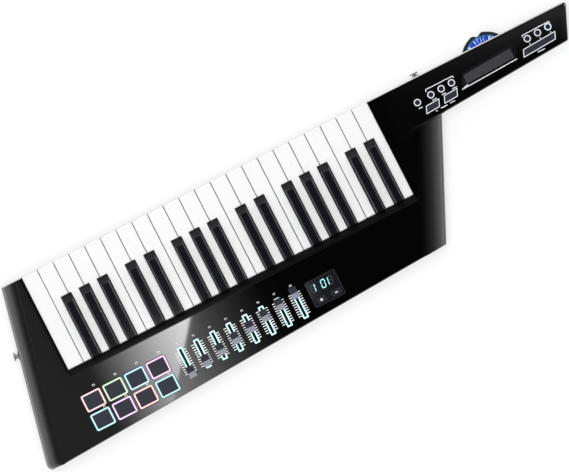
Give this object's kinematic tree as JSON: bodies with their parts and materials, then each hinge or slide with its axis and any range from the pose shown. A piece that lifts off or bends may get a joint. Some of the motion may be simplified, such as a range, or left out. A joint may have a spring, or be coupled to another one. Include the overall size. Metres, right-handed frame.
{
  "type": "keytar",
  "caption": "Shoulder-worn electronic keyboard with piano keys, drum pads, faders and a short neck with touch strip, buttons and pitch wheel.",
  "frame": {"origin": "middle of the footprint, on the surface that the back lies on", "axes": "+X from the body towards the neck, +Y towards the front edge with the key lips, +Z out of the top panel"},
  "size_m": [0.8962, 0.2632, 0.0605],
  "materials": {
    "gloss_case": "high gloss black",
    "matt_case": "fine textured black",
    "white_key": "semi-gloss white",
    "black_key": "satin black",
    "frame_plastic": "moulded dark grey",
    "board": "green circuit board",
    "silicone": "satin slate silicone with lit edges",
    "slate": "satin slate",
    "fader_cap": "satin grey",
    "touch_strip": "satin grey film",
    "wheel": "clear smoke rim round a lit blue core",
    "chrome": "polished chrome"
  },
  "bodies": {
    "case": {"top_cover": "gloss_case", "rear_cover": "matt_case", "keybed_frame": "frame_plastic", "main_board": "board", "pad_mat": "silicone", "value_keypad": "silicone", "neck_keypad": "silicone", "ribbon_strip": "touch_strip", "strap_button_end": "chrome", "strap_button_neck": "chrome"},
    "pitch_wheel": {"pitch_wheel": "wheel"},
    "sustain_bar": {"sustain_bar": "slate"},
    "octave_down_button": {"octave_down_button": "slate"},
    "octave_up_button": {"octave_up_button": "slate"},
    "battery_door": {"battery_door": "matt_case"},
    "fader_cap_1": {"fader_cap_1": "fader_cap"},
    "fader_cap_2": {"fader_cap_2": "fader_cap"},
    "fader_cap_3": {"fader_cap_3": "fader_cap"},
    "fader_cap_4": {"fader_cap_4": "fader_cap"},
    "fader_cap_5": {"fader_cap_5": "fader_cap"},
    "fader_cap_6": {"fader_cap_6": "fader_cap"},
    "fader_cap_7": {"fader_cap_7": "fader_cap"},
    "fader_cap_8": {"fader_cap_8": "fader_cap"},
    "white_key_c1": {"white_key_c1": "white_key"},
    "black_key_cs1": {"black_key_cs1": "black_key"},
    "white_key_d1": {"white_key_d1": "white_key"},
    "black_key_ds1": {"black_key_ds1": "black_key"},
    "white_key_e1": {"white_key_e1": "white_key"},
    "white_key_f1": {"white_key_f1": "white_key"},
    "black_key_fs1": {"black_key_fs1": "black_key"},
    "white_key_g1": {"white_key_g1": "white_key"},
    "black_key_gs1": {"black_key_gs1": "black_key"},
    "white_key_a1": {"white_key_a1": "white_key"},
    "black_key_as1": {"black_key_as1": "black_key"},
    "white_key_b1": {"white_key_b1": "white_key"},
    "white_key_c2": {"white_key_c2": "white_key"},
    "black_key_cs2": {"black_key_cs2": "black_key"},
    "white_key_d2": {"white_key_d2": "white_key"},
    "black_key_ds2": {"black_key_ds2": "black_key"},
    "white_key_e2": {"white_key_e2": "white_key"},
    "white_key_f2": {"white_key_f2": "white_key"},
    "black_key_fs2": {"black_key_fs2": "black_key"},
    "white_key_g2": {"white_key_g2": "white_key"},
    "black_key_gs2": {"black_key_gs2": "black_key"},
    "white_key_a2": {"white_key_a2": "white_key"},
    "black_key_as2": {"black_key_as2": "black_key"},
    "white_key_b2": {"white_key_b2": "white_key"},
    "white_key_c3": {"white_key_c3": "white_key"},
    "black_key_cs3": {"black_key_cs3": "black_key"},
    "white_key_d3": {"white_key_d3": "white_key"},
    "black_key_ds3": {"black_key_ds3": "black_key"},
    "white_key_e3": {"white_key_e3": "white_key"},
    "white_key_f3": {"white_key_f3": "white_key"},
    "black_key_fs3": {"black_key_fs3": "black_key"},
    "white_key_g3": {"white_key_g3": "white_key"},
    "black_key_gs3": {"black_key_gs3": "black_key"},
    "white_key_a3": {"white_key_a3": "white_key"},
    "black_key_as3": {"black_key_as3": "black_key"},
    "white_key_b3": {"white_key_b3": "white_key"},
    "white_key_c4": {"white_key_c4": "white_key"}
  },
  "joints": [
    {"name": "pitch_wheel_turn", "type": "hinge", "parent": "case", "child": "pitch_wheel", "pos_m": [0.3238, 0.09684, 0.034], "axis": [0, 0, 1], "range_deg": [-40, 40], "stiffness_Nm_per_rad": 0.05},
    {"name": "sustain_bar_press", "type": "slide", "parent": "case", "child": "sustain_bar", "axis": [0, 0, -1], "range_m": [0, 0.001], "stiffness_N_per_m": 300, "springref_m": -0.003},
    {"name": "octave_down_button_press", "type": "slide", "parent": "case", "child": "octave_down_button", "axis": [0, 0, -1], "range_m": [0, 0.001], "stiffness_N_per_m": 300, "springref_m": -0.003},
    {"name": "octave_up_button_press", "type": "slide", "parent": "case", "child": "octave_up_button", "axis": [0, 0, -1], "range_m": [0, 0.001], "stiffness_N_per_m": 300, "springref_m": -0.003},
    {"name": "battery_door_slide", "type": "slide", "parent": "case", "child": "battery_door", "axis": [0, -1, 0], "range_m": [0, 0.04]},
    {"name": "fader_cap_1_slide", "type": "slide", "parent": "case", "child": "fader_cap_1", "axis": [0, 1, 0], "range_m": [0, 0.0315]},
    {"name": "fader_cap_2_slide", "type": "slide", "parent": "case", "child": "fader_cap_2", "axis": [0, 1, 0], "range_m": [-0.0045, 0.027]},
    {"name": "fader_cap_3_slide", "type": "slide", "parent": "case", "child": "fader_cap_3", "axis": [0, 1, 0], "range_m": [-0.009, 0.0225]},
    {"name": "fader_cap_4_slide", "type": "slide", "parent": "case", "child": "fader_cap_4", "axis": [0, 1, 0], "range_m": [-0.0135, 0.018]},
    {"name": "fader_cap_5_slide", "type": "slide", "parent": "case", "child": "fader_cap_5", "axis": [0, 1, 0], "range_m": [-0.018, 0.0135]},
    {"name": "fader_cap_6_slide", "type": "slide", "parent": "case", "child": "fader_cap_6", "axis": [0, 1, 0], "range_m": [-0.0225, 0.009]},
    {"name": "fader_cap_7_slide", "type": "slide", "parent": "case", "child": "fader_cap_7", "axis": [0, 1, 0], "range_m": [-0.027, 0.0045]},
    {"name": "fader_cap_8_slide", "type": "slide", "parent": "case", "child": "fader_cap_8", "axis": [0, 1, 0], "range_m": [-0.0315, 0]},
    {"name": "white_key_c1_press", "type": "hinge", "parent": "case", "child": "white_key_c1", "pos_m": [0.14105, -0.03966, 0.034], "axis": [-1, 0, 0], "range_deg": [0, 3.7], "stiffness_Nm_per_rad": 0.4, "springref_deg": -14.32},
    {"name": "black_key_cs1_press", "type": "hinge", "parent": "case", "child": "black_key_cs1", "pos_m": [0.1313, -0.03966, 0.034], "axis": [-1, 0, 0], "range_deg": [0, 3.7], "stiffness_Nm_per_rad": 0.35, "springref_deg": -14.32},
    {"name": "white_key_d1_press", "type": "hinge", "parent": "case", "child": "white_key_d1", "pos_m": [0.11755, -0.03966, 0.034], "axis": [-1, 0, 0], "range_deg": [0, 3.7], "stiffness_Nm_per_rad": 0.4, "springref_deg": -14.32},
    {"name": "black_key_ds1_press", "type": "hinge", "parent": "case", "child": "black_key_ds1", "pos_m": [0.10331, -0.03966, 0.034], "axis": [-1, 0, 0], "range_deg": [0, 3.7], "stiffness_Nm_per_rad": 0.35, "springref_deg": -14.32},
    {"name": "white_key_e1_press", "type": "hinge", "parent": "case", "child": "white_key_e1", "pos_m": [0.09405, -0.03966, 0.034], "axis": [-1, 0, 0], "range_deg": [0, 3.7], "stiffness_Nm_per_rad": 0.4, "springref_deg": -14.32},
    {"name": "white_key_f1_press", "type": "hinge", "parent": "case", "child": "white_key_f1", "pos_m": [0.07055, -0.03966, 0.034], "axis": [-1, 0, 0], "range_deg": [0, 3.7], "stiffness_Nm_per_rad": 0.4, "springref_deg": -14.32},
    {"name": "black_key_fs1_press", "type": "hinge", "parent": "case", "child": "black_key_fs1", "pos_m": [0.0615, -0.03966, 0.034], "axis": [-1, 0, 0], "range_deg": [0, 3.7], "stiffness_Nm_per_rad": 0.35, "springref_deg": -14.32},
    {"name": "white_key_g1_press", "type": "hinge", "parent": "case", "child": "white_key_g1", "pos_m": [0.04705, -0.03966, 0.034], "axis": [-1, 0, 0], "range_deg": [0, 3.7], "stiffness_Nm_per_rad": 0.4, "springref_deg": -14.32},
    {"name": "black_key_gs1_press", "type": "hinge", "parent": "case", "child": "black_key_gs1", "pos_m": [0.0346, -0.03966, 0.034], "axis": [-1, 0, 0], "range_deg": [0, 3.7], "stiffness_Nm_per_rad": 0.35, "springref_deg": -14.32},
    {"name": "white_key_a1_press", "type": "hinge", "parent": "case", "child": "white_key_a1", "pos_m": [0.02355, -0.03966, 0.034], "axis": [-1, 0, 0], "range_deg": [0, 3.7], "stiffness_Nm_per_rad": 0.4, "springref_deg": -14.32},
    {"name": "black_key_as1_press", "type": "hinge", "parent": "case", "child": "black_key_as1", "pos_m": [0.00781, -0.03966, 0.034], "axis": [-1, 0, 0], "range_deg": [0, 3.7], "stiffness_Nm_per_rad": 0.35, "springref_deg": -14.32},
    {"name": "white_key_b1_press", "type": "hinge", "parent": "case", "child": "white_key_b1", "pos_m": [0.00005, -0.03966, 0.034], "axis": [-1, 0, 0], "range_deg": [0, 3.7], "stiffness_Nm_per_rad": 0.4, "springref_deg": -14.32},
    {"name": "white_key_c2_press", "type": "hinge", "parent": "case", "child": "white_key_c2", "pos_m": [-0.02345, -0.03966, 0.034], "axis": [-1, 0, 0], "range_deg": [0, 3.7], "stiffness_Nm_per_rad": 0.4, "springref_deg": -14.32},
    {"name": "black_key_cs2_press", "type": "hinge", "parent": "case", "child": "black_key_cs2", "pos_m": [-0.0332, -0.03966, 0.034], "axis": [-1, 0, 0], "range_deg": [0, 3.7], "stiffness_Nm_per_rad": 0.35, "springref_deg": -14.32},
    {"name": "white_key_d2_press", "type": "hinge", "parent": "case", "child": "white_key_d2", "pos_m": [-0.04695, -0.03966, 0.034], "axis": [-1, 0, 0], "range_deg": [0, 3.7], "stiffness_Nm_per_rad": 0.4, "springref_deg": -14.32},
    {"name": "black_key_ds2_press", "type": "hinge", "parent": "case", "child": "black_key_ds2", "pos_m": [-0.06119, -0.03966, 0.034], "axis": [-1, 0, 0], "range_deg": [0, 3.7], "stiffness_Nm_per_rad": 0.35, "springref_deg": -14.32},
    {"name": "white_key_e2_press", "type": "hinge", "parent": "case", "child": "white_key_e2", "pos_m": [-0.07045, -0.03966, 0.034], "axis": [-1, 0, 0], "range_deg": [0, 3.7], "stiffness_Nm_per_rad": 0.4, "springref_deg": -14.32},
    {"name": "white_key_f2_press", "type": "hinge", "parent": "case", "child": "white_key_f2", "pos_m": [-0.09395, -0.03966, 0.034], "axis": [-1, 0, 0], "range_deg": [0, 3.7], "stiffness_Nm_per_rad": 0.4, "springref_deg": -14.32},
    {"name": "black_key_fs2_press", "type": "hinge", "parent": "case", "child": "black_key_fs2", "pos_m": [-0.103, -0.03966, 0.034], "axis": [-1, 0, 0], "range_deg": [0, 3.7], "stiffness_Nm_per_rad": 0.35, "springref_deg": -14.32},
    {"name": "white_key_g2_press", "type": "hinge", "parent": "case", "child": "white_key_g2", "pos_m": [-0.11745, -0.03966, 0.034], "axis": [-1, 0, 0], "range_deg": [0, 3.7], "stiffness_Nm_per_rad": 0.4, "springref_deg": -14.32},
    {"name": "black_key_gs2_press", "type": "hinge", "parent": "case", "child": "black_key_gs2", "pos_m": [-0.1299, -0.03966, 0.034], "axis": [-1, 0, 0], "range_deg": [0, 3.7], "stiffness_Nm_per_rad": 0.35, "springref_deg": -14.32},
    {"name": "white_key_a2_press", "type": "hinge", "parent": "case", "child": "white_key_a2", "pos_m": [-0.14095, -0.03966, 0.034], "axis": [-1, 0, 0], "range_deg": [0, 3.7], "stiffness_Nm_per_rad": 0.4, "springref_deg": -14.32},
    {"name": "black_key_as2_press", "type": "hinge", "parent": "case", "child": "black_key_as2", "pos_m": [-0.1567, -0.03966, 0.034], "axis": [-1, 0, 0], "range_deg": [0, 3.7], "stiffness_Nm_per_rad": 0.35, "springref_deg": -14.32},
    {"name": "white_key_b2_press", "type": "hinge", "parent": "case", "child": "white_key_b2", "pos_m": [-0.16445, -0.03966, 0.034], "axis": [-1, 0, 0], "range_deg": [0, 3.7], "stiffness_Nm_per_rad": 0.4, "springref_deg": -14.32},
    {"name": "white_key_c3_press", "type": "hinge", "parent": "case", "child": "white_key_c3", "pos_m": [-0.18795, -0.03966, 0.034], "axis": [-1, 0, 0], "range_deg": [0, 3.7], "stiffness_Nm_per_rad": 0.4, "springref_deg": -14.32},
    {"name": "black_key_cs3_press", "type": "hinge", "parent": "case", "child": "black_key_cs3", "pos_m": [-0.1977, -0.03966, 0.034], "axis": [-1, 0, 0], "range_deg": [0, 3.7], "stiffness_Nm_per_rad": 0.35, "springref_deg": -14.32},
    {"name": "white_key_d3_press", "type": "hinge", "parent": "case", "child": "white_key_d3", "pos_m": [-0.21145, -0.03966, 0.034], "axis": [-1, 0, 0], "range_deg": [0, 3.7], "stiffness_Nm_per_rad": 0.4, "springref_deg": -14.32},
    {"name": "black_key_ds3_press", "type": "hinge", "parent": "case", "child": "black_key_ds3", "pos_m": [-0.22569, -0.03966, 0.034], "axis": [-1, 0, 0], "range_deg": [0, 3.7], "stiffness_Nm_per_rad": 0.35, "springref_deg": -14.32},
    {"name": "white_key_e3_press", "type": "hinge", "parent": "case", "child": "white_key_e3", "pos_m": [-0.23495, -0.03966, 0.034], "axis": [-1, 0, 0], "range_deg": [0, 3.7], "stiffness_Nm_per_rad": 0.4, "springref_deg": -14.32},
    {"name": "white_key_f3_press", "type": "hinge", "parent": "case", "child": "white_key_f3", "pos_m": [-0.25845, -0.03966, 0.034], "axis": [-1, 0, 0], "range_deg": [0, 3.7], "stiffness_Nm_per_rad": 0.4, "springref_deg": -14.32},
    {"name": "black_key_fs3_press", "type": "hinge", "parent": "case", "child": "black_key_fs3", "pos_m": [-0.2675, -0.03966, 0.034], "axis": [-1, 0, 0], "range_deg": [0, 3.7], "stiffness_Nm_per_rad": 0.35, "springref_deg": -14.32},
    {"name": "white_key_g3_press", "type": "hinge", "parent": "case", "child": "white_key_g3", "pos_m": [-0.28195, -0.03966, 0.034], "axis": [-1, 0, 0], "range_deg": [0, 3.7], "stiffness_Nm_per_rad": 0.4, "springref_deg": -14.32},
    {"name": "black_key_gs3_press", "type": "hinge", "parent": "case", "child": "black_key_gs3", "pos_m": [-0.2944, -0.03966, 0.034], "axis": [-1, 0, 0], "range_deg": [0, 3.7], "stiffness_Nm_per_rad": 0.35, "springref_deg": -14.32},
    {"name": "white_key_a3_press", "type": "hinge", "parent": "case", "child": "white_key_a3", "pos_m": [-0.30545, -0.03966, 0.034], "axis": [-1, 0, 0], "range_deg": [0, 3.7], "stiffness_Nm_per_rad": 0.4, "springref_deg": -14.32},
    {"name": "black_key_as3_press", "type": "hinge", "parent": "case", "child": "black_key_as3", "pos_m": [-0.3212, -0.03966, 0.034], "axis": [-1, 0, 0], "range_deg": [0, 3.7], "stiffness_Nm_per_rad": 0.35, "springref_deg": -14.32},
    {"name": "white_key_b3_press", "type": "hinge", "parent": "case", "child": "white_key_b3", "pos_m": [-0.32895, -0.03966, 0.034], "axis": [-1, 0, 0], "range_deg": [0, 3.7], "stiffness_Nm_per_rad": 0.4, "springref_deg": -14.32},
    {"name": "white_key_c4_press", "type": "hinge", "parent": "case", "child": "white_key_c4", "pos_m": [-0.35245, -0.03966, 0.034], "axis": [-1, 0, 0], "range_deg": [0, 3.7], "stiffness_Nm_per_rad": 0.4, "springref_deg": -14.32}
  ]
}
